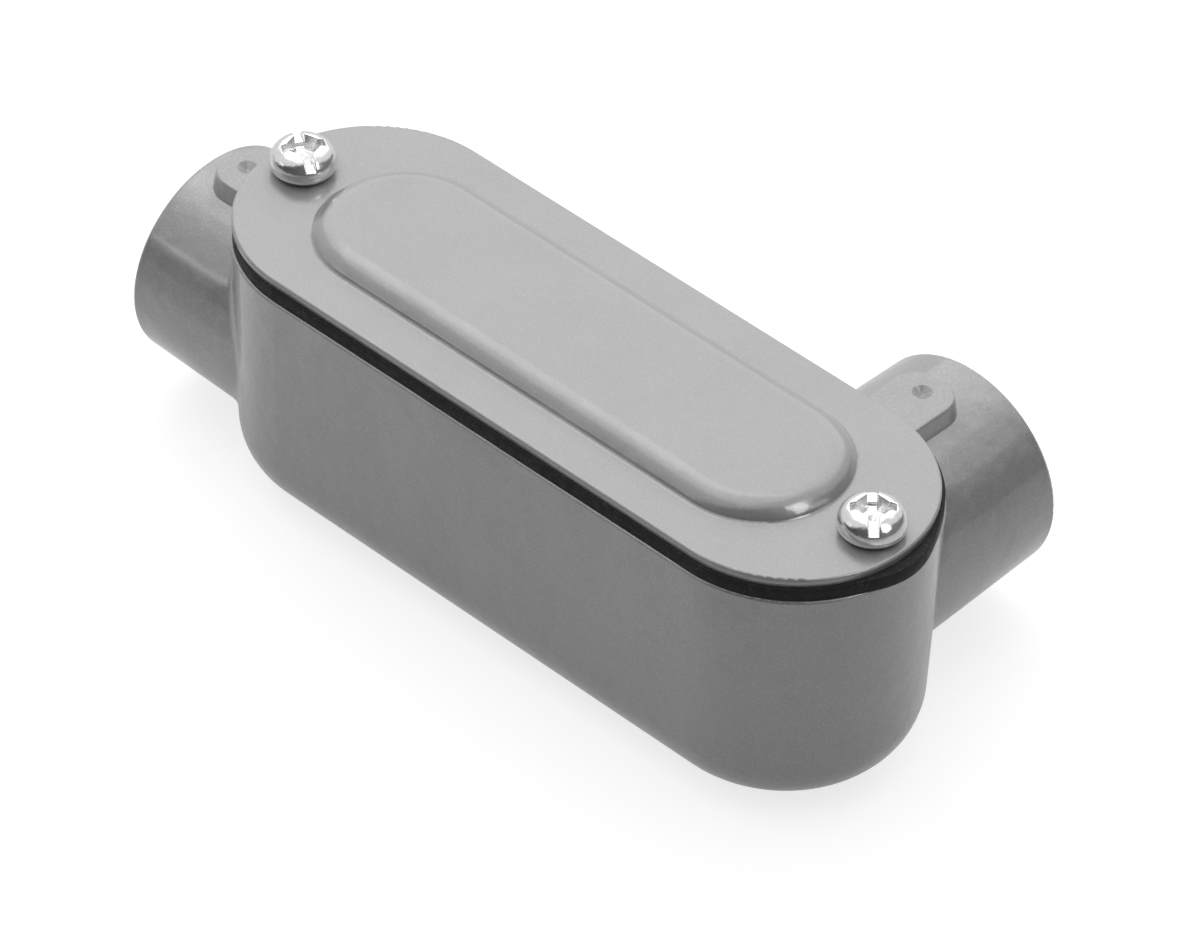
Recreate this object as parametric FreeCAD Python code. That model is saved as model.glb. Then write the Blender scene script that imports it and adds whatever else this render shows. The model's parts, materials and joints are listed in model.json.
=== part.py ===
import FreeCAD, Part
import math
import os

from FreeCAD import Placement, Rotation, Vector

# Cast conduit body with one hub at its end and one on its side, in millimetres.
# The origin is the centre of the housing's flat bottom. +X runs along the
# housing away from the end hub, +Y towards the side hub, +Z out of the cover.

# Housing box: an oblong with full-round ends, drafted for its casting die
RIM_LENGTH = 98.5
RIM_WIDTH = 34.1
RIM_HEIGHT = 33.4
SIDE_DRAFT_DEG = 1.6
WALL_THICKNESS = 2.4
FLOOR_THICKNESS = 2.4
BOTTOM_EDGE_RADIUS = 7.6
RIM_EDGE_RADIUS = 0.3
FLOOR_CORNER_RADIUS = 5.0

# Hubs for half-inch conduit. A third of the height that they leave is below them
HUB_SPARE_BELOW = 0.341
HUB_FACE_RADIUS = 13.5
HUB_DRAFT_DEG = 1.2
HUB_LIP_RADIUS = 0.5
HUB_ROOT_FILLET = 1.6
END_HUB_REACH = 10.2
SIDE_HUB_REACH = 17.7
SIDE_HUB_FROM_FAR_END = 20.6

# Threaded sockets and the smooth bushings behind them
THREAD_MAJOR_RADIUS = 10.7
SOCKET_MOUTH_CHAMFER = 0.8
END_SOCKET_DEPTH = 13.4
SIDE_SOCKET_DEPTH = 16.6
BUSHING_RADIUS = 8.0
BUSHING_THICKNESS = 2.7
BUSHING_LIP_RADIUS = 1.3

# Undrilled set-screw pads: their tops stand a share of the way from crown to rim
PAD_RISE_SHARE = 0.44
PAD_HALF_WIDTH = 4.0
PAD_CORNER_RADIUS = 3.3
PAD_DRAFT_DEG = 10.0
PAD_EDGE_RADIUS = 0.4
END_PAD_FROM_FACE = 2.6
SIDE_PAD_FROM_FACE = 5.8
PAD_DIMPLE_RADIUS = 1.2
PAD_DIMPLE_DEPTH = 0.8
PAD_DIMPLE_FROM_TIP = 3.1

# Gasket: a flat rubber ring between the rim and the cover, squeezed out past
# the rim in a blunt nose beside the far screw
GASKET_THICKNESS = 1.8
GASKET_INSET = 0.45
GASKET_BAND = 3.95
GASKET_END_BAND = 10.25
GASKET_HOLE_CLEARANCE = 0.1
GASKET_NOSE_PAST_RIM = 1.0
GASKET_NOSE_RADIUS = 8.0
GASKET_NOSE_BLEND = 6.0

# Cover: pressed sheet with a raised panel of the same sheet
COVER_THICKNESS = 1.0
COVER_SIDE_INSET = 0.55
COVER_END_INSET = 0.3
COVER_SHIFT = -0.3
COVER_EDGE_RADIUS = 0.35
COVER_HOLE_CLEARANCE = 0.22
PANEL_WIDTH = 21.8
PANEL_FROM_COVER_END = 10.7
PANEL_RISE = 2.0
PANEL_WALL_RUN = 1.25
PANEL_FOOT_RADIUS = 0.5
PANEL_TOP_RADIUS = 3.2
PANEL_SEAM_GAP = 1.6

# Cover screws: number 8 pan heads with a slot across a cross recess. The roundings
# at the head's edge and foot are shares of its height
SCREW_FROM_COVER_END = 4.8
SCREW_THREAD_RADIUS = 2.08
SCREW_LENGTH = 7.9
SCREW_POINT_CHAMFER = 0.4
SCREW_HEAD_RADIUS = 4.1
SCREW_HEAD_HEIGHT = 3.5
SCREW_HEAD_EDGE_SHARE = 0.54
SCREW_HEAD_FOOT_SHARE = 0.41
SCREW_HEAD_CROWN = 0.25
SLOT_WIDTH = 1.2
SLOT_DEPTH = 1.5
RECESS_ARM_WIDTH = 1.2
RECESS_SPAN = 5.1
RECESS_FLARE_SPAN = 4.4
RECESS_DEPTH = 1.9
HUB_END_SLOT_DEG = -30.0
FAR_END_SLOT_DEG = -46.0

# Tapped holes for the cover screws
TAPPED_CLEARANCE = 0.05
TAPPED_TIP_ROOM = 0.5
SCREW_BOSS_WALL = 1.9

# How far cutting tools reach past the faces they open
CUT_MARGIN = 5.0

# Share of the room below the rim that a hub's root fillet may fill
FILLET_SHARE = 0.9

# Where the seam of a turned solid lies round its axis, away from the pads
SEAM_DEG = 135.0

UP = Vector(0, 0, 1)
HUB_RIM_X = -RIM_LENGTH / 2
FAR_RIM_X = RIM_LENGTH / 2
RIM_HALF_STRAIGHT = (RIM_LENGTH - RIM_WIDTH) / 2
HUB_ROOT_RADIUS = HUB_FACE_RADIUS + SIDE_HUB_REACH * math.tan(math.radians(HUB_DRAFT_DEG))
HUB_SPARE_HEIGHT = RIM_HEIGHT - 2 * HUB_ROOT_RADIUS
HUB_AXIS_HEIGHT = HUB_ROOT_RADIUS + HUB_SPARE_BELOW * HUB_SPARE_HEIGHT
HUB_CROWN_HEIGHT = HUB_AXIS_HEIGHT + HUB_FACE_RADIUS
PAD_TOP_HEIGHT = HUB_CROWN_HEIGHT + PAD_RISE_SHARE * (RIM_HEIGHT - HUB_CROWN_HEIGHT)
END_HUB_FACE_X = HUB_RIM_X - END_HUB_REACH
SIDE_HUB_FACE_Y = RIM_WIDTH / 2 + SIDE_HUB_REACH
SIDE_HUB_X = FAR_RIM_X - SIDE_HUB_FROM_FAR_END
BUSHING_WALL_X = END_HUB_FACE_X + END_SOCKET_DEPTH + BUSHING_THICKNESS
COVER_LENGTH = RIM_LENGTH - 2 * COVER_END_INSET
COVER_WIDTH = RIM_WIDTH - 2 * COVER_SIDE_INSET
COVER_BOTTOM = RIM_HEIGHT + GASKET_THICKNESS
COVER_TOP = COVER_BOTTOM + COVER_THICKNESS
SCREW_HALF_SPACING = COVER_LENGTH / 2 - SCREW_FROM_COVER_END
HUB_END_SCREW_X = COVER_SHIFT - SCREW_HALF_SPACING
FAR_END_SCREW_X = COVER_SHIFT + SCREW_HALF_SPACING
TAPPED_RADIUS = SCREW_THREAD_RADIUS + TAPPED_CLEARANCE
TAPPED_BOTTOM = COVER_TOP - SCREW_LENGTH - TAPPED_TIP_ROOM
SCREW_BOSS_RADIUS = TAPPED_RADIUS + SCREW_BOSS_WALL
HUB_END_BOSS_BOTTOM = TAPPED_BOTTOM - SCREW_BOSS_WALL


def rounded_face(corners):
    """Face in the XZ plane whose corners are (x, z, radius of the rounding)."""
    places = [Vector(x, 0, z) for x, z, _ in corners]
    edges = []
    first_start = None
    last_end = None
    for i, (_, _, radius) in enumerate(corners):
        corner = places[i]
        back = (places[i - 1] - corner).normalize()
        ahead = (places[(i + 1) % len(places)] - corner).normalize()
        half_angle = back.getAngle(ahead) / 2
        reach = radius / math.tan(half_angle)
        start = corner + back * reach
        end = corner + ahead * reach
        if last_end is None:
            first_start = start
        elif last_end.distanceToPoint(start) > 1e-7:
            edges.append(Part.makeLine(last_end, start))
        if radius > 0:
            inward = (back + ahead).normalize()
            middle = corner + inward * (radius / math.sin(half_angle) - radius)
            edges.append(Part.Arc(start, middle, end).toShape())
        last_end = end
    edges.append(Part.makeLine(last_end, first_start))
    return Part.Face(Part.Wire(edges))


def oblong(corners, half_straight):
    """Solid whose half section is swept round an oblong's centre line."""
    section = rounded_face(corners)
    near_side = section.rotated(Vector(), UP, -90)
    far_side = section.rotated(Vector(), UP, 90)
    run = Vector(2 * half_straight, 0, 0)
    start = Vector(-half_straight, 0, 0)
    pieces = [
        near_side.revolve(Vector(), UP, 180).translated(-start),
        far_side.revolve(Vector(), UP, 180).translated(start),
        near_side.translated(start).extrude(run),
        far_side.translated(start).extrude(run),
    ]
    return pieces[0].multiFuse(pieces[1:]).removeSplitter().Solids[0]


def oblong_plate(half_width, half_straight, bottom, top, top_edge_radius=0.0):
    corners = [
        (0, bottom, 0),
        (half_width, bottom, 0),
        (half_width, top, top_edge_radius),
        (0, top, 0),
    ]
    return oblong(corners, half_straight)


def turned(corners, axis_point, axis_direction):
    """Solid of revolution: corners are (radius, distance along the axis)."""
    section = rounded_face(corners).rotated(Vector(), UP, SEAM_DEG)
    solid = section.revolve(Vector(), UP, 360)
    placement = Placement(axis_point, Rotation(UP, axis_direction))
    return solid.transformed(placement.toMatrix())


def box_half_width(height):
    return RIM_WIDTH / 2 - (RIM_HEIGHT - height) * math.tan(math.radians(SIDE_DRAFT_DEG))


def housing_box():
    corners = [
        (0, 0, 0),
        (box_half_width(0), 0, BOTTOM_EDGE_RADIUS),
        (RIM_WIDTH / 2, RIM_HEIGHT, RIM_EDGE_RADIUS),
        (0, RIM_HEIGHT, 0),
    ]
    return oblong(corners, RIM_HALF_STRAIGHT)


def hub(face_centre, outward, length):
    """Drafted round hub that runs from its face back into the box."""
    back_radius = HUB_FACE_RADIUS + length * math.tan(math.radians(HUB_DRAFT_DEG))
    corners = [
        (0, 0, 0),
        (HUB_FACE_RADIUS, 0, HUB_LIP_RADIUS),
        (back_radius, -length, 0),
        (0, -length, 0),
    ]
    return turned(corners, face_centre, outward)


def set_screw_pad(tip_distance):
    """Flat-topped pad along +X from the origin to a rounded tip on a hub's crown."""
    foot = HUB_AXIS_HEIGHT + THREAD_MAJOR_RADIUS / 2
    spread = (PAD_TOP_HEIGHT - foot) * math.tan(math.radians(PAD_DRAFT_DEG))
    outlines = []
    for height, grow in ((foot, spread), (PAD_TOP_HEIGHT, 0)):
        half_width = PAD_HALF_WIDTH + grow
        tip = tip_distance + grow
        radius = PAD_CORNER_RADIUS + grow
        corners = [
            (0, -half_width, 0),
            (tip, -half_width, radius),
            (tip, half_width, radius),
            (0, half_width, 0),
        ]
        outline = rounded_face(corners).OuterWire
        outline.rotate(Vector(), Vector(1, 0, 0), 90)
        outlines.append(outline.translated(Vector(0, 0, height)))
    pad = Part.makeLoft(outlines, True, True)
    top_edges = [edge for edge in pad.Edges
                 if edge.BoundBox.ZMin > PAD_TOP_HEIGHT - 0.01
                 and edge.BoundBox.XMax > 0.01]
    pad = pad.makeFillet(PAD_EDGE_RADIUS, top_edges)
    dimple = Part.makeCone(
        0, PAD_DIMPLE_RADIUS, PAD_DIMPLE_DEPTH,
        Vector(tip_distance - PAD_DIMPLE_FROM_TIP, 0, PAD_TOP_HEIGHT - PAD_DIMPLE_DEPTH))
    return pad.cut(dimple)


def placed_pad(root, face_reach, from_face, angle):
    """Pad on the hub that leaves the given root point at an angle in plan."""
    pad = set_screw_pad(face_reach - from_face)
    return pad.transformed(Placement(root, Rotation(UP, angle)).toMatrix())


def hub_root_edges(body, hubs):
    """Edges along which the hubs' drafted sides meet the box."""
    edges = []
    for edge in body.Edges:
        probe = edge.valueAt((edge.FirstParameter + edge.LastParameter) / 2)
        vertex = Part.Vertex(probe)
        for one_hub, face_point, outward in hubs:
            behind_face = (face_point - probe).dot(outward)
            on_side = vertex.distToShape(one_hub.Shells[0])[0] < 1e-4
            if on_side and behind_face > 2 * HUB_LIP_RADIUS:
                edges.append(edge)
    return edges


def housing_outside():
    end_face = Vector(END_HUB_FACE_X, 0, HUB_AXIS_HEIGHT)
    side_face = Vector(SIDE_HUB_X, SIDE_HUB_FACE_Y, HUB_AXIS_HEIGHT)
    end_hub = hub(end_face, Vector(-1, 0, 0), END_HUB_REACH + RIM_WIDTH / 2)
    side_hub = hub(side_face, Vector(0, 1, 0), SIDE_HUB_FACE_Y)
    body = housing_box().multiFuse([end_hub, side_hub])
    roots = hub_root_edges(body, [
        (end_hub, end_face, Vector(-1, 0, 0)),
        (side_hub, side_face, Vector(0, 1, 0)),
    ])
    rim_room = RIM_HEIGHT - RIM_EDGE_RADIUS - HUB_AXIS_HEIGHT - HUB_ROOT_RADIUS
    body = body.makeFillet(min(HUB_ROOT_FILLET, FILLET_SHARE * rim_room), roots)
    end_pad = placed_pad(Vector(-RIM_HALF_STRAIGHT, 0, 0),
                         -RIM_HALF_STRAIGHT - END_HUB_FACE_X, END_PAD_FROM_FACE, 180)
    side_pad = placed_pad(Vector(SIDE_HUB_X, 0, 0), SIDE_HUB_FACE_Y, SIDE_PAD_FROM_FACE, 90)
    return body.multiFuse([end_pad, side_pad])


def wiring_cavity():
    """Room inside the walls, less the bushing wall and the screw bosses."""
    inside_floor = box_half_width(FLOOR_THICKNESS) - WALL_THICKNESS
    open_top = RIM_HEIGHT + CUT_MARGIN
    corners = [
        (0, FLOOR_THICKNESS, 0),
        (inside_floor, FLOOR_THICKNESS, FLOOR_CORNER_RADIUS),
        (box_half_width(open_top) - WALL_THICKNESS, open_top, 0),
        (0, open_top, 0),
    ]
    room = oblong(corners, RIM_HALF_STRAIGHT)
    wall_depth = BUSHING_WALL_X - END_HUB_FACE_X
    bushing_wall = Part.makeBox(
        wall_depth, RIM_WIDTH, open_top + CUT_MARGIN,
        Vector(END_HUB_FACE_X, -RIM_WIDTH / 2, -CUT_MARGIN))
    hub_end_boss = Part.makeCylinder(
        SCREW_BOSS_RADIUS, open_top - HUB_END_BOSS_BOTTOM,
        Vector(HUB_END_SCREW_X, 0, HUB_END_BOSS_BOTTOM))
    far_end_boss = Part.makeCylinder(
        SCREW_BOSS_RADIUS, open_top + CUT_MARGIN, Vector(FAR_END_SCREW_X, 0, -CUT_MARGIN))
    far_end_web = Part.makeBox(
        FAR_RIM_X - FAR_END_SCREW_X, 2 * SCREW_BOSS_RADIUS, open_top + CUT_MARGIN,
        Vector(FAR_END_SCREW_X, -SCREW_BOSS_RADIUS, -CUT_MARGIN))
    return room.cut([bushing_wall, hub_end_boss, far_end_boss, far_end_web])


def hub_bore(face_centre, outward, socket_depth, bushing_length):
    """Chamfered socket, its shoulder, and the bushing with a rounded lip."""
    shoulder = -socket_depth
    lip = shoulder - bushing_length
    corners = [
        (0, CUT_MARGIN, 0),
        (THREAD_MAJOR_RADIUS + SOCKET_MOUTH_CHAMFER + CUT_MARGIN, CUT_MARGIN, 0),
        (THREAD_MAJOR_RADIUS, -SOCKET_MOUTH_CHAMFER, 0),
        (THREAD_MAJOR_RADIUS, shoulder, 0),
        (BUSHING_RADIUS, shoulder, BUSHING_LIP_RADIUS / 2),
        (BUSHING_RADIUS, lip, BUSHING_LIP_RADIUS),
        (BUSHING_RADIUS + BUSHING_LIP_RADIUS, lip, 0),
        (BUSHING_RADIUS + BUSHING_LIP_RADIUS, lip - CUT_MARGIN, 0),
        (0, lip - CUT_MARGIN, 0),
    ]
    return turned(corners, face_centre, outward)


def housing():
    end_bore = hub_bore(
        Vector(END_HUB_FACE_X, 0, HUB_AXIS_HEIGHT), Vector(-1, 0, 0),
        END_SOCKET_DEPTH, BUSHING_THICKNESS)
    wall_inside_y = box_half_width(HUB_AXIS_HEIGHT) - WALL_THICKNESS
    side_bore = hub_bore(
        Vector(SIDE_HUB_X, SIDE_HUB_FACE_Y, HUB_AXIS_HEIGHT), Vector(0, 1, 0),
        SIDE_SOCKET_DEPTH, SIDE_HUB_FACE_Y - SIDE_SOCKET_DEPTH - wall_inside_y)
    tools = [wiring_cavity(), end_bore, side_bore]
    for screw_x in (HUB_END_SCREW_X, FAR_END_SCREW_X):
        tools.append(Part.makeCylinder(
            TAPPED_RADIUS, RIM_HEIGHT + CUT_MARGIN - TAPPED_BOTTOM,
            Vector(screw_x, 0, TAPPED_BOTTOM)))
    return housing_outside().cut(tools).removeSplitter()


def screw_holes(clearance, bottom, top):
    radius = SCREW_THREAD_RADIUS + clearance
    height = top - bottom + 2 * CUT_MARGIN
    return [Part.makeCylinder(radius, height, Vector(x, 0, bottom - CUT_MARGIN))
            for x in (HUB_END_SCREW_X, FAR_END_SCREW_X)]


def gasket_blank():
    """Gasket before its openings are punched, with the squeezed-out nose."""
    plate = oblong_plate(RIM_WIDTH / 2 - GASKET_INSET, RIM_HALF_STRAIGHT,
                         RIM_HEIGHT, COVER_BOTTOM)
    nose_x = FAR_RIM_X + GASKET_NOSE_PAST_RIM - GASKET_NOSE_RADIUS
    nose = Part.makeCylinder(GASKET_NOSE_RADIUS, GASKET_THICKNESS,
                             Vector(nose_x, 0, RIM_HEIGHT))
    blank = plate.fuse(nose).removeSplitter()
    creases = [edge for edge in blank.Edges
               if edge.BoundBox.XMin > nose_x and edge.BoundBox.ZLength > GASKET_THICKNESS / 2]
    return blank.makeFillet(GASKET_NOSE_BLEND, creases)


def cover_gasket():
    """Flat ring whose ends widen into lands round the screw holes."""
    outer = gasket_blank()
    opening_half_width = RIM_WIDTH / 2 - GASKET_INSET - GASKET_BAND
    opening_half_straight = (RIM_LENGTH / 2 - GASKET_INSET - GASKET_END_BAND
                             - opening_half_width)
    opening = oblong_plate(opening_half_width, opening_half_straight,
                           RIM_HEIGHT - CUT_MARGIN, COVER_BOTTOM + CUT_MARGIN)
    holes = screw_holes(GASKET_HOLE_CLEARANCE, RIM_HEIGHT, COVER_BOTTOM)
    return outer.cut([opening] + holes)


def cover_panel(seam_half_width, half_straight):
    """Raised panel pressed from the sheet, out to the seam with the flange."""
    foot = PANEL_WIDTH / 2
    top = foot - PANEL_WALL_RUN
    wall_angle = math.atan2(PANEL_RISE, PANEL_WALL_RUN)
    inner_shift = COVER_THICKNESS * math.tan(wall_angle / 2)
    panel_top = COVER_TOP + PANEL_RISE
    panel_under = COVER_BOTTOM + PANEL_RISE
    corners = [
        (0, panel_top, 0),
        (top, panel_top, PANEL_TOP_RADIUS),
        (foot, COVER_TOP, PANEL_FOOT_RADIUS),
        (seam_half_width, COVER_TOP, 0),
        (seam_half_width, COVER_BOTTOM, 0),
        (foot - inner_shift, COVER_BOTTOM, PANEL_FOOT_RADIUS + COVER_THICKNESS),
        (top - inner_shift, panel_under, max(PANEL_TOP_RADIUS - COVER_THICKNESS, 0.0)),
        (0, panel_under, 0),
    ]
    return oblong(corners, half_straight)


def cover():
    cover_half_straight = (COVER_LENGTH - COVER_WIDTH) / 2
    panel_half_length = COVER_LENGTH / 2 - PANEL_FROM_COVER_END
    panel_half_straight = panel_half_length - PANEL_WIDTH / 2
    seam = PANEL_WIDTH / 2 + PANEL_SEAM_GAP
    flange = oblong_plate(COVER_WIDTH / 2, cover_half_straight,
                          COVER_BOTTOM, COVER_TOP, COVER_EDGE_RADIUS)
    window = oblong_plate(seam, panel_half_straight,
                          COVER_BOTTOM - CUT_MARGIN, COVER_TOP + CUT_MARGIN)
    panel = cover_panel(seam, panel_half_straight)
    sheet = flange.cut(window).fuse(panel).removeSplitter()
    sheet.translate(Vector(COVER_SHIFT, 0, 0))
    return sheet.cut(screw_holes(COVER_HOLE_CLEARANCE, COVER_BOTTOM, COVER_TOP))


def cover_screw(screw_x, slot_angle):
    """Pan-head screw seated on the cover, its slot at an angle in plan."""
    edge_radius = SCREW_HEAD_EDGE_SHARE * SCREW_HEAD_HEIGHT
    foot_radius = SCREW_HEAD_FOOT_SHARE * SCREW_HEAD_HEIGHT
    corners = [
        (0, SCREW_HEAD_HEIGHT + SCREW_HEAD_CROWN, 0),
        (SCREW_HEAD_RADIUS - SCREW_HEAD_CROWN, SCREW_HEAD_HEIGHT, edge_radius),
        (SCREW_HEAD_RADIUS, 0, foot_radius),
        (SCREW_THREAD_RADIUS, 0, 0),
        (SCREW_THREAD_RADIUS, SCREW_POINT_CHAMFER - SCREW_LENGTH, 0),
        (SCREW_THREAD_RADIUS - SCREW_POINT_CHAMFER, -SCREW_LENGTH, 0),
        (0, -SCREW_LENGTH, 0),
    ]
    body = turned(corners, Vector(), UP)
    head_top = SCREW_HEAD_HEIGHT + SCREW_HEAD_CROWN
    slot = Part.makeBox(
        2 * SCREW_HEAD_RADIUS + CUT_MARGIN, SLOT_WIDTH, SLOT_DEPTH,
        Vector(-SCREW_HEAD_RADIUS - CUT_MARGIN / 2, -SLOT_WIDTH / 2, head_top - SLOT_DEPTH))
    body = body.cut([slot, cross_recess(head_top)])
    return body.transformed(
        Placement(Vector(screw_x, 0, COVER_TOP), Rotation(UP, slot_angle)).toMatrix())


def cross_recess(head_top):
    """Two crossed arms and the square flare between them, narrowing downwards."""
    bottom = head_top - RECESS_DEPTH
    bottom_half = RECESS_ARM_WIDTH / 2
    mouth = [
        (-RECESS_SPAN / 2, head_top, 0),
        (RECESS_SPAN / 2, head_top, 0),
        (bottom_half, bottom, 0),
        (-bottom_half, bottom, 0),
    ]
    arm = rounded_face(mouth).translated(Vector(0, -RECESS_ARM_WIDTH / 2, 0))
    arm = arm.extrude(Vector(0, RECESS_ARM_WIDTH, 0))
    squares = []
    for half, height in ((RECESS_FLARE_SPAN / 2, head_top), (bottom_half, bottom)):
        corners = [Vector(half, 0, height), Vector(0, half, height),
                   Vector(-half, 0, height), Vector(0, -half, height)]
        squares.append(Part.makePolygon(corners + corners[:1]))
    flare = Part.makeLoft(squares, True, True)
    return arm.multiFuse([arm.rotated(Vector(), UP, 90), flare])


def main():
    parts = {
        "housing": housing(),
        "cover_gasket": cover_gasket(),
        "cover": cover(),
        "cover_screw_hub_end": cover_screw(HUB_END_SCREW_X, HUB_END_SLOT_DEG),
        "cover_screw_far_end": cover_screw(FAR_END_SCREW_X, FAR_END_SLOT_DEG),
    }
    os.makedirs("parts", exist_ok=True)
    for name, shape in parts.items():
        shape.exportStep(f"parts/{name}.step")


main()
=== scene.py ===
import json
import math

import bpy
import numpy as np
from mathutils import Matrix, Vector


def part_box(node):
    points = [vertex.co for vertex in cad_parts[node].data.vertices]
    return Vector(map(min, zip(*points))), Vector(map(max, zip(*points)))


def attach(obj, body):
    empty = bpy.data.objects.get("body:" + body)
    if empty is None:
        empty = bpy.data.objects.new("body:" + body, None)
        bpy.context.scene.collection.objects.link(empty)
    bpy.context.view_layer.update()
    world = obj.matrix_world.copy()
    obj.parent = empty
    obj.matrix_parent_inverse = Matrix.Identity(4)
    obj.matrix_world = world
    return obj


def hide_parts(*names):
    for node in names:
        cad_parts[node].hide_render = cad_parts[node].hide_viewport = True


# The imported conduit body, which every piece below is fitted to
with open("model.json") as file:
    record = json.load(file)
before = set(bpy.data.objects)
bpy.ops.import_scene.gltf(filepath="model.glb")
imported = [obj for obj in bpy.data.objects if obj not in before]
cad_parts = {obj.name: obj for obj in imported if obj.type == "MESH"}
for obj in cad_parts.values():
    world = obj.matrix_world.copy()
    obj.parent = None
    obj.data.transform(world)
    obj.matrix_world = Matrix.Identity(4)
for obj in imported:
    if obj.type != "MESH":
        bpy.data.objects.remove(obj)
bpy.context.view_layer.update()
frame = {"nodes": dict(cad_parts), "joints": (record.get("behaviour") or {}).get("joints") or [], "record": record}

# Metres in a millimetre. All sizes below are in millimetres
MM = 0.001

# Screw heads: number 8 combination pan heads, measured up from the cover's face. Each
# slot's angle is from X
HEAD_RADIUS = 4.1
HEAD_HEIGHT = 3.35
HEAD_CROWN = 0.33
HEAD_SIDE_LEAN = 0.33
HEAD_EDGE_RADIUS = 1.85
HEAD_FOOT_RADIUS = 1.43
SLOT_WIDTH = 1.2
SLOT_DEPTH = 1.45
RECESS_ARM_WIDTH = 1.2
RECESS_SPAN = 5.4
RECESS_FLARE_SPAN = 5.0
RECESS_DEPTH = 1.9
RECESS_TAPER = 0.28
RECESS_POINT_DEPTH = 0.35
CUT_EDGE_RADIUS = 0.09
CUT_CORNER_RADIUS = 0.12
HEAD_MESH_STEP = 0.08
SLOT_ANGLES_DEG = {"hub_end": -30.0, "far_end": -46.0}

# Screw shanks: threads with 32 turns to the inch, whose flats are shares of a turn
SHANK_LENGTH = 7.9
SHANK_IN_HEAD = 0.5
SHANK_PLAIN_NECK = 0.7
SHANK_POINT_CHAMFER = 0.4
SHANK_POINT_SLOPE = 1.6
SHANK_COLUMNS = 40
SHANK_RINGS = 140
SCREW_THREAD_RADIUS = 2.06
SCREW_THREAD_PITCH = 25.4 / 32
SCREW_THREAD_DEPTH = 0.49
SCREW_THREAD_FLAT = 0.125

# Pipe threads in the sockets: 14 turns to the inch, with a taper of 1 in 16 on
# diameter. Each is a lining that starts in the mouth's chamfer and is closed behind,
# inside the wall
PIPE_THREAD_PITCH = 25.4 / 14
PIPE_THREAD_DEPTH = 1.3
PIPE_THREAD_FLAT = 0.08
PIPE_THREAD_TAPER = 1 / 32
PIPE_THREAD_RUN_OUT = 3.5
SOCKET_CHAMFER = 0.8
LINING_CLEARANCE = 0.03
LINING_BACK_IN_WALL = 0.15
LINING_THINNEST = 0.04
LINING_START = 0.75
LINING_SHORT_OF_SHOULDER = 0.6
LINING_COLUMNS = 120
LINING_RING_STEP = 0.11

# Gasket: a punched rubber ring, squeezed outwards a little, with a blunt nose at the
# far end. Its cut edge wanders in waves, each with its count round the ring, its share
# of the height and its phase. Phases and the nose's angle are in radians
GASKET_BAND = 3.95
GASKET_END_BAND = 10.25
GASKET_HOLE_RADIUS = 2.18
GASKET_SPREAD = 0.3
GASKET_NOSE = 1.05
GASKET_NOSE_HALF_ANGLE = 0.52
GASKET_WANDER = 0.05
GASKET_WAVES = ((7, 1.0, 1.3), (19, 0.6, 0.4), (41, 0.4, 0.0))
GASKET_EDGE_RADIUS = 0.12
GASKET_CREASE_DEG = 40.0

# Paint: the greys of the casting and the sheet, and the lumps of the skin, each with
# its width, its detail and its depth
CASTING_GREY = 0.38
SHEET_GREY = 0.39
SKIN_LUMPS = ((14.0, 1.0, 0.5), (3.2, 1.0, 0.16), (1.1, 2.0, 0.028))

# Camera, fitted to the photograph: the point that it looks at, how far off it stands
# and in which direction, and how far it is rolled
CAMERA_AIM = (4.005, -0.655, 20.0)
CAMERA_DISTANCE = 813.24
CAMERA_AZIMUTH_DEG = -47.688
CAMERA_ELEVATION_DEG = 41.407
CAMERA_ROLL_DEG = 1.843
CAMERA_LENS = 214.75
CAMERA_SENSOR = 36.0
CAMERA_NEAR = 50.0
CAMERA_FAR = 20000.0

# Floor: its own shade, and its glow to the camera and in reflections. The reflected
# glow drops to a weaker one in front of the object and fades past its far end
FLOOR_HALF = 6000.0
FLOOR_SHADE = 0.45
FLOOR_GLOW = 0.76
FLOOR_GLOW_MIRRORED = 0.36
FLOOR_GLOW_IN_FRONT = 0.08
FLOOR_FRONT = -55.0
FLOOR_FRONT_BLUR = 8.0
FLOOR_FADE_START = 60.0
FLOOR_FADE_END = 120.0
FLOOR_FADE_SHARE = 0.6

# Sky: its brightness to the camera and in reflections, and the fill light it gives
WHITE_SKY = 1.0
MIRRORED_SKY = 0.80
FILL_LIGHT = 0.65

# Curtain: its top edge's height as seen from the object, which swings between a low and a high side and never
# falls below the least. Its grey is painted shade, which changes with X plus Y and is darkest on the end hub's
# side
CURTAIN_RADIUS = 2000.0
CURTAIN_LOW_DEG = -20.0
CURTAIN_HIGH_DEG = 62.0
CURTAIN_LEAST_DEG = 0.5
CURTAIN_HIGH_TOWARDS_DEG = -32.0
CURTAIN_DARKEST = 0.13
CURTAIN_LIGHTEST = 0.36
CURTAIN_SHADE_SPAN = 2.8 * CURTAIN_RADIUS
CURTAIN_COLUMNS = 72


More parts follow.
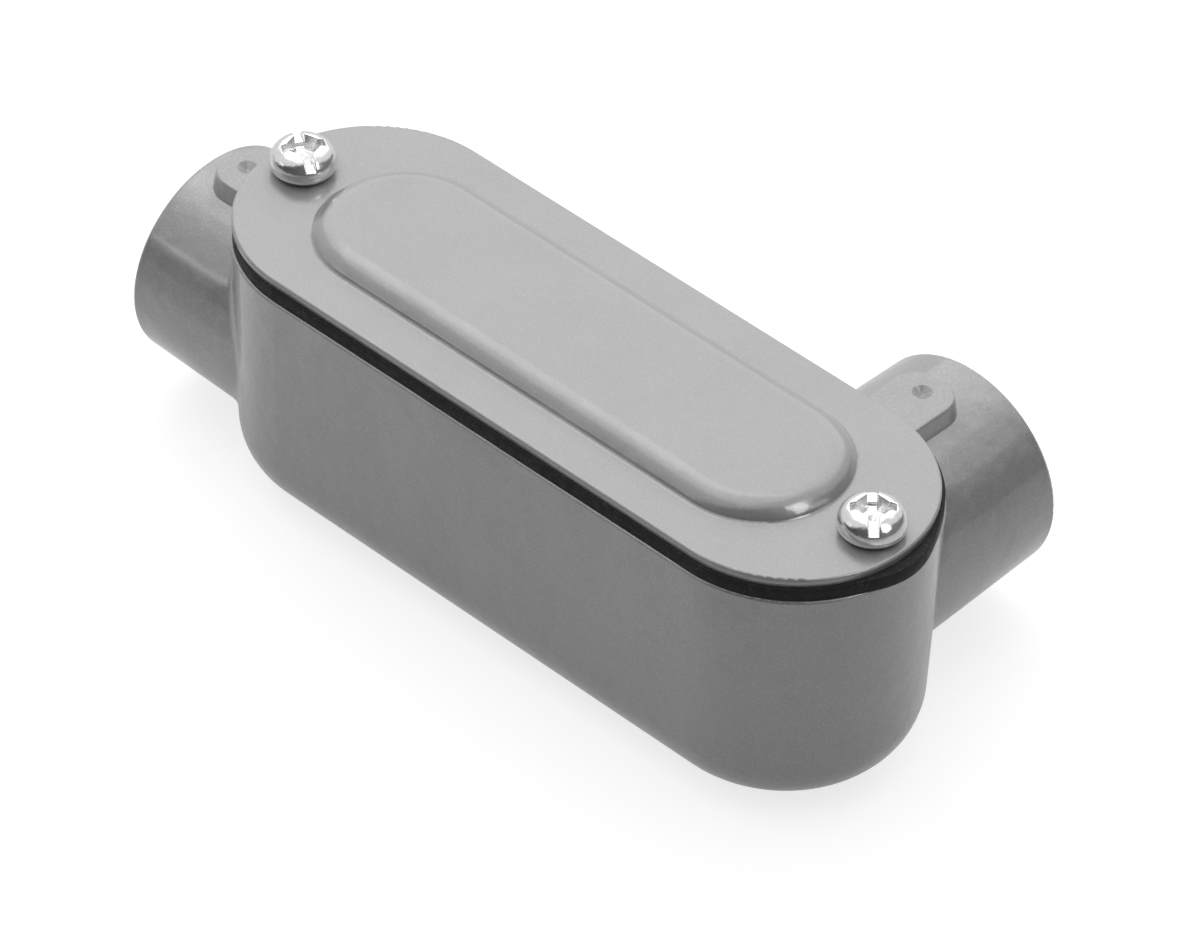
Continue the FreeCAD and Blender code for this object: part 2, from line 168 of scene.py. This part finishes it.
class Nodes:
    """Adds shader nodes to one node tree and joins them up."""

    def __init__(self, tree):
        self.tree = tree
        self.tree.nodes.clear()

    def add(self, kind, **settings):
        node = self.tree.nodes.new(kind)
        for name, value in settings.items():
            setattr(node, name, value)
        return node

    def link(self, source, target):
        self.tree.links.new(source, target)

    def feed(self, socket, value):
        """Sets a socket to a plain value, or joins it to another node's output."""
        if isinstance(value, bpy.types.NodeSocket):
            self.link(value, socket)
        else:
            socket.default_value = value

    def millimetres(self, stretch=(1.0, 1.0, 1.0)):
        """The piece's own coordinates, in millimetres."""
        place = self.add("ShaderNodeTexCoord")
        scaled = self.add("ShaderNodeMapping")
        scaled.inputs["Scale"].default_value = [factor / MM for factor in stretch]
        self.link(place.outputs["Object"], scaled.inputs["Vector"])
        return scaled.outputs["Vector"]

    def x_and_y(self):
        """The piece's own X and Y, in millimetres."""
        parts = self.add("ShaderNodeSeparateXYZ")
        self.link(self.millimetres(), parts.inputs["Vector"])
        return parts.outputs["X"], parts.outputs["Y"]

    def noise(self, place, size, detail=2.0, roughness=0.5):
        """Soft noise whose lumps are about the given size."""
        node = self.add("ShaderNodeTexNoise")
        self.link(place, node.inputs["Vector"])
        node.inputs["Scale"].default_value = 1 / size
        node.inputs["Detail"].default_value = detail
        node.inputs["Roughness"].default_value = roughness
        return node.outputs["Fac"]

    def grains(self, place, size):
        """A random value for each of many small cells."""
        node = self.add("ShaderNodeTexVoronoi")
        self.link(place, node.inputs["Vector"])
        node.inputs["Scale"].default_value = 1 / size
        parts = self.add("ShaderNodeSeparateColor")
        self.link(node.outputs["Color"], parts.inputs["Color"])
        return parts.outputs["Red"]

    def math(self, operation, first, second):
        node = self.add("ShaderNodeMath", operation=operation)
        self.feed(node.inputs[0], first)
        self.feed(node.inputs[1], second)
        return node.outputs["Value"]

    def spread(self, value, found, wanted):
        """Maps one range of numbers onto another, held at the ends."""
        node = self.add("ShaderNodeMapRange")
        self.link(value, node.inputs["Value"])
        for name, limit in zip(("From Min", "From Max", "To Min", "To Max"), found + wanted):
            self.feed(node.inputs[name], limit)
        return node.outputs["Result"]

    def mix(self, share, first, second):
        node = self.add("ShaderNodeMix", data_type="RGBA")
        self.feed(node.inputs["Factor"], share)
        self.feed(node.inputs["A"], first)
        self.feed(node.inputs["B"], second)
        return node.outputs["Result"]

    def bump(self, height, depth, normal=None):
        """Bump whose height of one stands for a depth in millimetres."""
        node = self.add("ShaderNodeBump")
        node.inputs["Strength"].default_value = 1.0
        node.inputs["Distance"].default_value = depth * MM
        self.link(height, node.inputs["Height"])
        if normal is not None:
            self.link(normal, node.inputs["Normal"])
        return node.outputs["Normal"]


class Finish(Nodes):
    """The nodes of one new material."""

    def __init__(self, name):
        self.material = bpy.data.materials.new(name)
        self.material.use_nodes = True
        super().__init__(self.material.node_tree)
        self.output = self.add("ShaderNodeOutputMaterial")
        self.surface = self.add("ShaderNodeBsdfPrincipled")
        self.link(self.surface.outputs["BSDF"], self.output.inputs["Surface"])

    def set(self, values):
        """Feeds the surface's sockets, given by name."""
        for name, value in values.items():
            self.feed(self.surface.inputs[name], value)


def grey(value):
    """Colour of one grey level, opaque."""
    return (value, value, value, 1.0)


def paint(name, base, peel, grain):
    """Glossy grey paint with a fine metallic fleck and a skin like orange peel.

    Peel scales the depth of the skin's lumps, and grain how much the fleck shows.
    """
    finish = Finish(name)
    place = finish.millimetres()
    clouds = finish.spread(finish.noise(place, size=9.0, detail=3.0), (0.3, 0.7), (0.0, 1.0))
    colour = finish.mix(clouds, grey(base * 0.97), grey(base * 1.03))
    speckle = finish.noise(place, size=0.20, detail=3.0, roughness=0.7)
    speckled = finish.mix(finish.spread(speckle, (0.35, 0.65), (0.0, 1.0)),
                          grey(base * 0.86), grey(base * 1.14))
    colour = finish.mix(0.5 * grain, colour, speckled)
    fleck = finish.grains(place, size=0.11)
    bright = finish.spread(fleck, (0.92, 0.99), (0.0, 0.45 * grain))
    colour = finish.mix(bright, colour, grey(base * 1.8))
    dark = finish.spread(fleck, (0.08, 0.01), (0.0, 0.35 * grain))
    colour = finish.mix(dark, colour, grey(base * 0.6))
    smears = finish.noise(place, size=3.5, detail=4.0, roughness=0.6)
    roughness = finish.spread(smears, (0.3, 0.7), (0.28, 0.38))
    normal = None
    for size, detail, depth in SKIN_LUMPS:
        normal = finish.bump(finish.noise(place, size, detail), depth * peel, normal)
    normal = finish.bump(finish.noise(place, size=0.25), 0.0015, normal)
    finish.set({"Base Color": colour, "Roughness": roughness, "Normal": normal, "Metallic": 0.32,
                "Coat Weight": 1.0, "Coat Roughness": 0.09, "Specular IOR Level": 0.3})
    return finish.material


def rubber():
    """Matt black sheet rubber with a little dust and a cut edge's fine grain."""
    finish = Finish("gasket_rubber")
    place = finish.millimetres()
    dust = finish.noise(place, size=1.4, detail=5.0, roughness=0.65)
    colour = finish.mix(finish.spread(dust, (0.5, 0.75), (0.0, 1.0)), grey(0.013), grey(0.030))
    lint = finish.spread(finish.grains(place, size=0.18), (0.96, 1.0), (0.0, 0.5))
    colour = finish.mix(lint, colour, grey(0.12))
    lumps = finish.noise(place, size=0.9, detail=3.0)
    roughness = finish.spread(lumps, (0.3, 0.7), (0.50, 0.68))
    normal = finish.bump(lumps, 0.05)
    normal = finish.bump(finish.noise(place, size=0.15), 0.012, normal)
    finish.set({"Base Color": colour, "Roughness": roughness, "Normal": normal,
                "Specular IOR Level": 0.25})
    return finish.material


def plating():
    """Bright zinc on steel, with faint clouds and fine scratches."""
    finish = Finish("screw_plating")
    place = finish.millimetres()
    clouds = finish.noise(place, size=1.2, detail=4.0, roughness=0.6)
    colour = finish.mix(finish.spread(clouds, (0.3, 0.7), (0.0, 1.0)), grey(0.74), grey(0.86))
    drawn = finish.millimetres(stretch=(1.0, 9.0, 1.0))
    scratches = finish.noise(drawn, size=0.7, detail=3.0, roughness=0.6)
    roughness = finish.spread(scratches, (0.35, 0.7), (0.14, 0.26))
    normal = finish.bump(finish.noise(place, size=0.8), 0.03)
    normal = finish.bump(scratches, 0.0025, normal)
    finish.set({"Base Color": colour, "Roughness": roughness, "Normal": normal, "Metallic": 1.0})
    return finish.material


def machined():
    """Bare cast aluminium cut by a tap, with fine tool lines and oil stains."""
    finish = Finish("machined_aluminium")
    place = finish.millimetres()
    stains = finish.noise(place, size=2.5, detail=5.0, roughness=0.6)
    colour = finish.mix(finish.spread(stains, (0.35, 0.7), (0.0, 1.0)), grey(0.62), grey(0.45))
    chatter = finish.noise(place, size=0.35, detail=3.0, roughness=0.7)
    roughness = finish.spread(chatter, (0.3, 0.7), (0.24, 0.42))
    normal = finish.bump(chatter, 0.012)
    finish.set({"Base Color": colour, "Roughness": roughness, "Normal": normal, "Metallic": 1.0})
    return finish.material


def mesh_object(name, points, faces, material):
    """Smooth-shaded mesh from points in millimetres."""
    mesh = bpy.data.meshes.new(name)
    mesh.from_pydata((np.asarray(points) * MM).tolist(), [], faces)
    mesh.validate()
    mesh.shade_smooth()
    mesh.materials.append(material)
    piece = bpy.data.objects.new(name, mesh)
    bpy.context.scene.collection.objects.link(piece)
    return piece


def ring_faces(rings, columns, closed=False):
    """Quads between rings of points. Closed ones also join the last ring to the first."""
    faces = []
    for ring in range(rings if closed else rings - 1):
        low = ring * columns
        high = (ring + 1) % rings * columns
        for column in range(columns):
            beside = (column + 1) % columns
            faces.append([low + column, low + beside, high + beside, high + column])
    return faces


def thread_height(turns, flat):
    """Share of a thread's depth at a place given in turns, with flats at both ends."""
    slope = np.abs(2 * (turns % 1.0) - 1)
    return np.clip((slope - flat) / (1 - 2 * flat), 0.0, 1.0)


def shared(first, second, radius):
    """Signed distance to what two shapes share, with its edge rounded."""
    corner = np.hypot(np.maximum(first + radius, 0), np.maximum(second + radius, 0))
    return np.minimum(np.maximum(first, second), -radius) + corner


def recess_distance(x, y, below_top):
    """Signed distance to a cross recess with a flared middle, narrower with depth."""
    # The walls go on narrowing to a fifth below the floor, past its point
    narrowing = 1 - RECESS_TAPER * np.clip(below_top / RECESS_DEPTH, 0.0, 1.2)
    half_arm = RECESS_ARM_WIDTH / 2
    reach = RECESS_SPAN / 2 * narrowing
    flare = RECESS_FLARE_SPAN / 2 * narrowing
    along = np.maximum(np.abs(x) - reach, np.abs(y) - half_arm)
    across = np.maximum(np.abs(y) - reach, np.abs(x) - half_arm)
    middle = (np.abs(x) + np.abs(y) - flare) / math.sqrt(2)
    walls = np.minimum(np.minimum(along, across), middle)
    point = RECESS_POINT_DEPTH * np.clip(1 - np.hypot(x, y) / half_arm, 0.0, 1.0)
    floor = below_top - RECESS_DEPTH - point
    # Both slope, so what was measured along an axis is scaled to stay under the distance
    sloping = 0.75
    return shared(walls * sloping, floor * sloping, CUT_CORNER_RADIUS)


def head_distance(places):
    """Signed distance to the screw head's surface, its slot along X."""
    x, y, z = places[..., 0], places[..., 1], places[..., 2]
    from_axis = np.hypot(x, y)
    top = HEAD_HEIGHT + HEAD_CROWN
    crown_radius = (HEAD_RADIUS ** 2 + HEAD_CROWN ** 2) / (2 * HEAD_CROWN)
    crown = np.hypot(from_axis, z - top + crown_radius) - crown_radius
    side = from_axis - HEAD_RADIUS + HEAD_SIDE_LEAN * z / HEAD_HEIGHT
    head = shared(crown, side, HEAD_EDGE_RADIUS)
    head = shared(head, -z, HEAD_FOOT_RADIUS)
    slot = shared(np.abs(y) - SLOT_WIDTH / 2, top - SLOT_DEPTH - z, CUT_CORNER_RADIUS)
    recess = recess_distance(x, y, top - z)
    return shared(head, -np.minimum(slot, recess), CUT_EDGE_RADIUS)


def cell_points(field):
    """Numbers the grid cells that a surface crosses, and gives a point in each.

    The point is the mean of where the surface cuts the cell's edges, in grid steps.
    """
    cells = tuple(n - 1 for n in field.shape)
    total = np.zeros(cells + (3,))
    count = np.zeros(cells)
    for axis in range(3):
        sides = [a for a in range(3) if a != axis]
        for i, j in ((0, 0), (0, 1), (1, 0), (1, 1)):
            offset = [0, 0, 0]
            offset[sides[0]] = i
            offset[sides[1]] = j
            near = field[tuple(slice(o, o + n) for o, n in zip(offset, cells))]
            offset[axis] = 1
            far = field[tuple(slice(o, o + n) for o, n in zip(offset, cells))]
            crossed = (near < 0) != (far < 0)
            share = np.where(crossed, near / np.where(crossed, near - far, 1.0), 0.0)
            total[..., axis] += share
            total[..., sides[0]] += np.where(crossed, i, 0)
            total[..., sides[1]] += np.where(crossed, j, 0)
            count += crossed
    used = count > 0
    number = np.full(cells, -1)
    number[used] = np.arange(used.sum())
    return number, np.argwhere(used) + total[used] / count[used][:, None]


def cell_faces(field, number):
    """A quad round each grid edge that the surface cuts, wound to face outwards."""
    cells = number.shape
    faces = []
    for axis in range(3):
        sides = [a for a in range(3) if a != axis]
        near = np.take(field, range(cells[axis]), axis) < 0
        far = np.take(field, range(1, cells[axis] + 1), axis) < 0
        cuts = np.argwhere(near != far)
        inner = np.all(cuts[:, sides] > 0, axis=1)
        inner &= np.all(cuts[:, sides] < np.array(cells)[sides], axis=1)
        cuts = cuts[inner]
        inside_first = near[tuple(cuts.T)]
        ring = []
        for i, j in ((0, 0), (1, 0), (1, 1), (0, 1)):
            cell = cuts.copy()
            cell[:, sides[0]] -= i
            cell[:, sides[1]] -= j
            ring.append(number[tuple(cell.T)])
        quads = np.stack(ring, 1)
        # Round an edge along Y the four cells come in the other order
        outward = inside_first if axis != 1 else ~inside_first
        quads[~outward] = quads[~outward][:, ::-1]
        faces.append(quads)
    return np.concatenate(faces)


def surface_mesh(distance, low, high, step):
    """Points and quads of the surface where a signed distance is nought."""
    lines = [np.arange(a - 2 * step, b + 2.5 * step, step) for a, b in zip(low, high)]
    field = distance(np.stack(np.meshgrid(*lines, indexing="ij"), -1))
    number, places = cell_points(field)
    start = np.array([line[0] for line in lines])
    return start + places * step, cell_faces(field, number)


def settled(points, distance, rounds=4, probe=0.01, least_slope=0.5, longest_move=0.04):
    """Points moved along the slope until they lie on the surface."""
    for _ in range(rounds):
        slope = np.stack([
            (distance(points + probe * side) - distance(points - probe * side)) / (2 * probe)
            for side in np.eye(3)], -1)
        steepness = np.maximum((slope ** 2).sum(-1), least_slope ** 2)
        move = (distance(points) / steepness)[:, None] * slope
        points = points - np.clip(move, -longest_move, longest_move)
    return points


def screw_head():
    """Points and faces of a head that stands on its own origin."""
    low = (-HEAD_RADIUS, -HEAD_RADIUS, 0.0)
    high = (HEAD_RADIUS, HEAD_RADIUS, HEAD_HEIGHT + HEAD_CROWN)
    points, faces = surface_mesh(head_distance, low, high, HEAD_MESH_STEP)
    return settled(points, head_distance), faces.tolist()


def shank_rings():
    """Rings of points down a threaded shank, from inside the head to its point."""
    height = np.linspace(SHANK_IN_HEAD, -SHANK_LENGTH, SHANK_RINGS)[:, None]
    angle = np.linspace(0, 2 * math.pi, SHANK_COLUMNS, endpoint=False)[None, :]
    turns = height / SCREW_THREAD_PITCH - angle / (2 * math.pi)
    rise = thread_height(turns, SCREW_THREAD_FLAT)
    # The neck above the thread has its mean radius
    started = np.clip((-height - SHANK_PLAIN_NECK) / SCREW_THREAD_PITCH, 0.0, 1.0)
    rise = 0.5 + (rise - 0.5) * started
    radius = SCREW_THREAD_RADIUS - SCREW_THREAD_DEPTH * (1 - rise)
    point_radius = SCREW_THREAD_RADIUS - SCREW_THREAD_DEPTH - SHANK_POINT_CHAMFER / 2
    point = point_radius + (height + SHANK_LENGTH) * SHANK_POINT_SLOPE
    radius = np.minimum(radius, point)
    return np.stack([radius * np.cos(angle), radius * np.sin(angle), height + 0 * angle], -1)


def closed_rod(rings):
    """Points and faces of a rod whose rings of points are closed at both ends."""
    count, columns = rings.shape[:2]
    points = np.concatenate([rings.reshape(-1, 3), [rings[0].mean(0), rings[-1].mean(0)]])
    top = count * columns
    bottom = top + 1
    last = top - columns
    faces = [face[::-1] for face in ring_faces(count, columns)]
    for column in range(columns):
        beside = (column + 1) % columns
        faces.append([top, column, beside])
        faces.append([bottom, last + beside, last + column])
    return points, faces


def whole_screw():
    """Points and faces of a screw whose head stands on its own origin."""
    head_points, head_faces = screw_head()
    shank_points, shank_faces = closed_rod(shank_rings())
    moved = [[i + len(head_points) for i in face] for face in shank_faces]
    return np.concatenate([head_points, shank_points]), head_faces + moved


def cover_screw(end, joint, points, faces, material):
    """A plated screw in place of the CAD screw whose body turns on the joint."""
    turn = Matrix.Rotation(math.radians(SLOT_ANGLES_DEG[end]), 3, "Z")
    seat = np.array(joint["pos_m"]) / MM
    screw = mesh_object(f"plated_screw_{end}", points @ np.array(turn).T + seat, faces, material)
    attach(screw, joint["child"])
    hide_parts(f"cover_screw_{end}")


def lining_rings(socket_radius, socket_depth):
    """Radii and depths of a threaded lining's points, ring by ring, and their angles."""
    depths = np.arange(LINING_START, socket_depth - LINING_SHORT_OF_SHOULDER, LINING_RING_STEP)
    depth = depths[:, None]
    angle = np.linspace(0, 2 * math.pi, LINING_COLUMNS, endpoint=False)[None, :]
    turns = -depth / PIPE_THREAD_PITCH - angle / (2 * math.pi)
    rise = thread_height(turns, PIPE_THREAD_FLAT)
    fade = np.clip((depths[-1] - depth) / PIPE_THREAD_RUN_OUT, 0.0, 1.0)
    root = socket_radius - LINING_CLEARANCE - PIPE_THREAD_TAPER * depth * fade
    crest = root - PIPE_THREAD_DEPTH * rise * fade
    mouth = socket_radius + SOCKET_CHAMFER - depth
    back = socket_radius + LINING_BACK_IN_WALL
    inner = np.minimum(np.maximum(crest, mouth), back - LINING_THINNEST)
    # Two more rings, at the last depth and the first, are the lining's back
    radius = np.concatenate([inner, np.full((2, LINING_COLUMNS), back)])
    depth = np.concatenate([depths, depths[[-1, 0]]])[:, None]
    return radius, depth, angle


def pipe_thread(mount, material):
    """Threaded lining of one hub's socket."""
    middle = Vector(mount["pos_m"]) / MM
    outward = Vector(mount["axis"])
    to_face = max((corner / MM - middle).dot(outward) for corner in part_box("housing"))
    socket_depth = to_face + mount["dims"]["length_mm"] / 2
    rings = lining_rings(mount["dims"]["r_mm"], socket_depth)
    radius, depth, angle = (values[..., None] for values in rings)
    across = outward.orthogonal().normalized()
    beyond = outward.cross(across)
    face_centre = np.array(middle + outward * to_face)
    points = (face_centre - depth * np.array(outward)
              + radius * np.cos(angle) * np.array(across)
              + radius * np.sin(angle) * np.array(beyond))
    faces = ring_faces(len(points), LINING_COLUMNS, closed=True)
    lining = mesh_object(f"{mount['name']}_thread", points.reshape(-1, 3), faces, material)
    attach(lining, "body_casting")


def gasket_outline(half_width, half_straight, nose, count=260):
    """Points round an oblong with a wandering edge and a nose at its +X end."""
    straight = 2 * half_straight
    arc = math.pi * half_width
    points = []
    for i in range(count):
        along = 2 * (straight + arc) * i / count
        if along < straight:
            centre, angle = -half_straight + along, -math.pi / 2
        elif along < straight + arc:
            centre, angle = half_straight, (along - straight) / half_width - math.pi / 2
        elif along < 2 * straight + arc:
            centre, angle = half_straight - (along - straight - arc), math.pi / 2
        else:
            centre, angle = -half_straight, (along - 2 * straight - arc) / half_width + math.pi / 2
        turn = 2 * math.pi * i / count
        edge = sum(height * math.sin(waves * turn + start) for waves, height, start in GASKET_WAVES)
        reach = half_width + GASKET_WANDER * (edge / 2 - 1)
        if centre == half_straight:
            on_nose = max(0.0, 1 - abs(angle) / GASKET_NOSE_HALF_ANGLE)
            reach += nose * on_nose * on_nose * (3 - 2 * on_nose)
        points.append((centre + reach * math.cos(angle), reach * math.sin(angle)))
    return points


def circle_outline(x, radius, count=40):
    turns = [2 * math.pi * i / count for i in range(count)]
    return [(x + radius * math.cos(turn), radius * math.sin(turn)) for turn in turns]


def sheet_mesh(name, outlines, thickness, edge_radius):
    """Mesh of a level sheet with rounded edges, cut along outlines."""
    curve = bpy.data.curves.new(name, "CURVE")
    curve.dimensions = "2D"
    curve.fill_mode = "BOTH"
    curve.bevel_depth = edge_radius * MM
    curve.bevel_resolution = 2
    curve.offset = -edge_radius * MM
    curve.extrude = (thickness / 2 - edge_radius) * MM
    for outline in outlines:
        spline = curve.splines.new("POLY")
        spline.points.add(len(outline) - 1)
        for point, (x, y) in zip(spline.points, outline):
            point.co = (x * MM, y * MM, 0.0, 1.0)
        spline.use_cyclic_u = True
    flat = bpy.data.objects.new(f"{name}_outline", curve)
    bpy.context.scene.collection.objects.link(flat)
    bpy.context.view_layer.update()
    mesh = bpy.data.meshes.new_from_object(flat.evaluated_get(bpy.context.evaluated_depsgraph_get()))
    mesh.name = name
    bpy.data.objects.remove(flat)
    return mesh


def sheet_gasket(screw_places, material):
    """Rubber ring cut from sheet, in place of the CAD gasket."""
    low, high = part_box("cover_gasket")
    half_width = -low.y / MM
    half_straight = -low.x / MM - half_width
    opening_half_width = half_width - GASKET_BAND
    opening_half_straight = half_straight + half_width - GASKET_END_BAND - opening_half_width
    outlines = [
        gasket_outline(half_width + GASKET_SPREAD, half_straight, GASKET_NOSE),
        gasket_outline(opening_half_width, opening_half_straight, 0.0),
    ]
    outlines += [circle_outline(place[0] / MM, GASKET_HOLE_RADIUS) for place in screw_places]
    mesh = sheet_mesh("rubber_gasket", outlines, (high.z - low.z) / MM, GASKET_EDGE_RADIUS)
    mesh.transform(Matrix.Translation((0, 0, (low.z + high.z) / 2)))
    mesh.materials.clear()
    mesh.materials.append(material)
    gasket = bpy.data.objects.new("rubber_gasket", mesh)
    bpy.context.scene.collection.objects.link(gasket)
    mesh.shade_smooth()
    mesh.set_sharp_from_angle(angle=math.radians(GASKET_CREASE_DEG))
    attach(gasket, "cover_assembly")
    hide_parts("cover_gasket")


def dress(node, material):
    """Gives a CAD node a finish in place of its plain colour."""
    mesh = frame["nodes"][node].data
    mesh.materials.clear()
    mesh.materials.append(material)
    for face in mesh.polygons:
        face.material_index = 0


def object_pieces():
    """The CAD nodes' finishes, and the detailed pieces on them or in their place."""
    dress("housing", paint("painted_casting", CASTING_GREY, peel=1.6, grain=1.0))
    dress("cover", paint("painted_sheet", SHEET_GREY, peel=0.8, grain=0.6))
    joints = {joint["name"]: joint for joint in frame["joints"]}
    screws = {end: joints[f"{end}_screw_turn"] for end in SLOT_ANGLES_DEG}
    points, faces = whole_screw()
    bright = plating()
    for end, joint in screws.items():
        cover_screw(end, joint, points, faces, bright)
    sheet_gasket([joint["pos_m"] for joint in screws.values()], rubber())
    bare = machined()
    for mount in frame["record"]["mounts"]:
        if mount["kind"] == "threaded_hole":
            pipe_thread(mount, bare)


def floor_material():
    """White to the camera apart from the object's soft shadow, and dimmer in reflections."""
    finish = Finish("floor")
    finish.set({"Base Color": grey(FLOOR_SHADE), "Roughness": 0.9, "Specular IOR Level": 0.0})
    x, y = finish.x_and_y()
    past_end = finish.spread(x, (FLOOR_FADE_START, FLOOR_FADE_END), (1.0, FLOOR_FADE_SHARE))
    front = finish.spread(y, (FLOOR_FRONT - FLOOR_FRONT_BLUR, FLOOR_FRONT + FLOOR_FRONT_BLUR),
                          (FLOOR_GLOW_IN_FRONT, FLOOR_GLOW_MIRRORED))
    ray = finish.add("ShaderNodeLightPath")
    mirrored = finish.math("MAXIMUM", ray.outputs["Is Glossy Ray"], ray.outputs["Is Transmission Ray"])
    mirrored = finish.math("MULTIPLY", mirrored, finish.math("MULTIPLY", past_end, front))
    direct = finish.math("MULTIPLY", ray.outputs["Is Camera Ray"], FLOOR_GLOW)
    glow = finish.add("ShaderNodeEmission")
    glow.inputs["Color"].default_value = grey(1.0)
    finish.link(finish.math("MAXIMUM", direct, mirrored), glow.inputs["Strength"])
    together = finish.add("ShaderNodeAddShader")
    finish.link(finish.surface.outputs["BSDF"], together.inputs[0])
    finish.link(glow.outputs["Emission"], together.inputs[1])
    finish.link(together.outputs["Shader"], finish.output.inputs["Surface"])
    return finish.material


def studio_floor():
    half = FLOOR_HALF
    corners = [(-half, -half, 0.0), (half, -half, 0.0), (half, half, 0.0), (-half, half, 0.0)]
    mesh_object("floor", corners, [[0, 1, 2, 3]], floor_material())


def curtain_material():
    """Matt grey with painted shade, darkest beside the end hub."""
    finish = Finish("curtain")
    x, y = finish.x_and_y()
    # Painted shade: the curtain's grey darkens towards the end hub's side, across X plus Y
    half_span = CURTAIN_SHADE_SPAN / 2
    share = finish.spread(finish.math("ADD", x, y), (-half_span, half_span), (0.0, 1.0))
    colour = finish.mix(share, grey(CURTAIN_DARKEST), grey(CURTAIN_LIGHTEST))
    finish.set({"Base Color": colour, "Roughness": 1.0})
    return finish.material


def dark_curtain():
    """Dim curtain round the set, which shows in reflections and not to the camera."""
    middle = (CURTAIN_LOW_DEG + CURTAIN_HIGH_DEG) / 2
    swing = (CURTAIN_HIGH_DEG - CURTAIN_LOW_DEG) / 2
    foot = []
    top = []
    for i in range(CURTAIN_COLUMNS):
        turn = 2 * math.pi * i / CURTAIN_COLUMNS
        x, y = CURTAIN_RADIUS * math.cos(turn), CURTAIN_RADIUS * math.sin(turn)
        rise = middle + swing * math.cos(turn - math.radians(CURTAIN_HIGH_TOWARDS_DEG))
        rise = max(rise, CURTAIN_LEAST_DEG)
        foot.append((x, y, 0.0))
        top.append((x, y, CURTAIN_RADIUS * math.tan(math.radians(rise))))
    curtain = mesh_object("curtain", foot + top, ring_faces(2, CURTAIN_COLUMNS), curtain_material())
    curtain.visible_camera = False
    curtain.visible_shadow = False


def direction(azimuth_deg, elevation_deg):
    """Unit vector away from the object, with azimuth from +X towards +Y."""
    turn, rise = math.radians(azimuth_deg), math.radians(elevation_deg)
    return Vector((math.cos(rise) * math.cos(turn), math.cos(rise) * math.sin(turn), math.sin(rise)))


def softbox(name, azimuth, elevation, distance, width, height, radiance, sheen_only=False):
    """Evenly bright oblong lamp aimed at the object, which may show in reflections alone."""
    lamp = bpy.data.lights.new(name, "AREA")
    lamp.shape = "RECTANGLE"
    lamp.size = width * MM
    lamp.size_y = height * MM
    lamp.energy = radiance * math.pi * lamp.size * lamp.size_y
    light = bpy.data.objects.new(name, lamp)
    bpy.context.scene.collection.objects.link(light)
    aim = direction(azimuth, elevation)
    light.location = aim * distance * MM
    light.rotation_euler = aim.to_track_quat("Z", "Y").to_euler()
    light.visible_camera = False
    light.visible_diffuse = not sheen_only


def lamps():
    """Soft light from behind and above, and highlights for the far end and the near side."""
    softbox("back_softbox", azimuth=132, elevation=45, distance=1500, width=2600, height=1500, radiance=0.68)
    softbox("overhead", azimuth=180, elevation=75, distance=1500, width=1400, height=1400, radiance=0.68)
    softbox("far_end_lamp", azimuth=5, elevation=41, distance=1200, width=340, height=620,
            radiance=4.5, sheen_only=True)
    softbox("side_strip", azimuth=-127, elevation=20, distance=1500, width=400, height=100, radiance=1.4)


def sky():
    """White backdrop to the camera, dimmer in reflections, and a fill light."""
    world = bpy.data.worlds.new("studio")
    world.use_nodes = True
    bpy.context.scene.world = world
    nodes = Nodes(world.node_tree)
    ray = nodes.add("ShaderNodeLightPath")
    strength = FILL_LIGHT
    for kind, brightness in (("Is Glossy Ray", MIRRORED_SKY), ("Is Transmission Ray", WHITE_SKY),
                             ("Is Camera Ray", WHITE_SKY)):
        strength = nodes.spread(ray.outputs[kind], (0.0, 1.0), (strength, brightness))
    background = nodes.add("ShaderNodeBackground")
    background.inputs["Color"].default_value = grey(1.0)
    nodes.link(strength, background.inputs["Strength"])
    output = nodes.add("ShaderNodeOutputWorld")
    nodes.link(background.outputs["Background"], output.inputs["Surface"])


def camera():
    """The photograph's view of the object."""
    lens = bpy.data.cameras.new("camera")
    lens.lens = CAMERA_LENS
    lens.sensor_width = CAMERA_SENSOR
    lens.clip_start = CAMERA_NEAR * MM
    lens.clip_end = CAMERA_FAR * MM
    view = bpy.data.objects.new("camera", lens)
    bpy.context.scene.collection.objects.link(view)
    back = direction(CAMERA_AZIMUTH_DEG, CAMERA_ELEVATION_DEG)
    place = (Vector(CAMERA_AIM) + back * CAMERA_DISTANCE) * MM
    level = back.to_track_quat("Z", "Y").to_matrix().to_4x4()
    roll = Matrix.Rotation(math.radians(CAMERA_ROLL_DEG), 4, "Z")
    view.matrix_world = Matrix.Translation(place) @ level @ roll
    bpy.context.scene.camera = view


def stage_set():
    """All that isn't part of the object."""
    studio_floor()
    dark_curtain()
    lamps()
    sky()
    camera()
    bpy.context.scene.view_settings.view_transform = "Standard"


object_pieces()
stage_set()
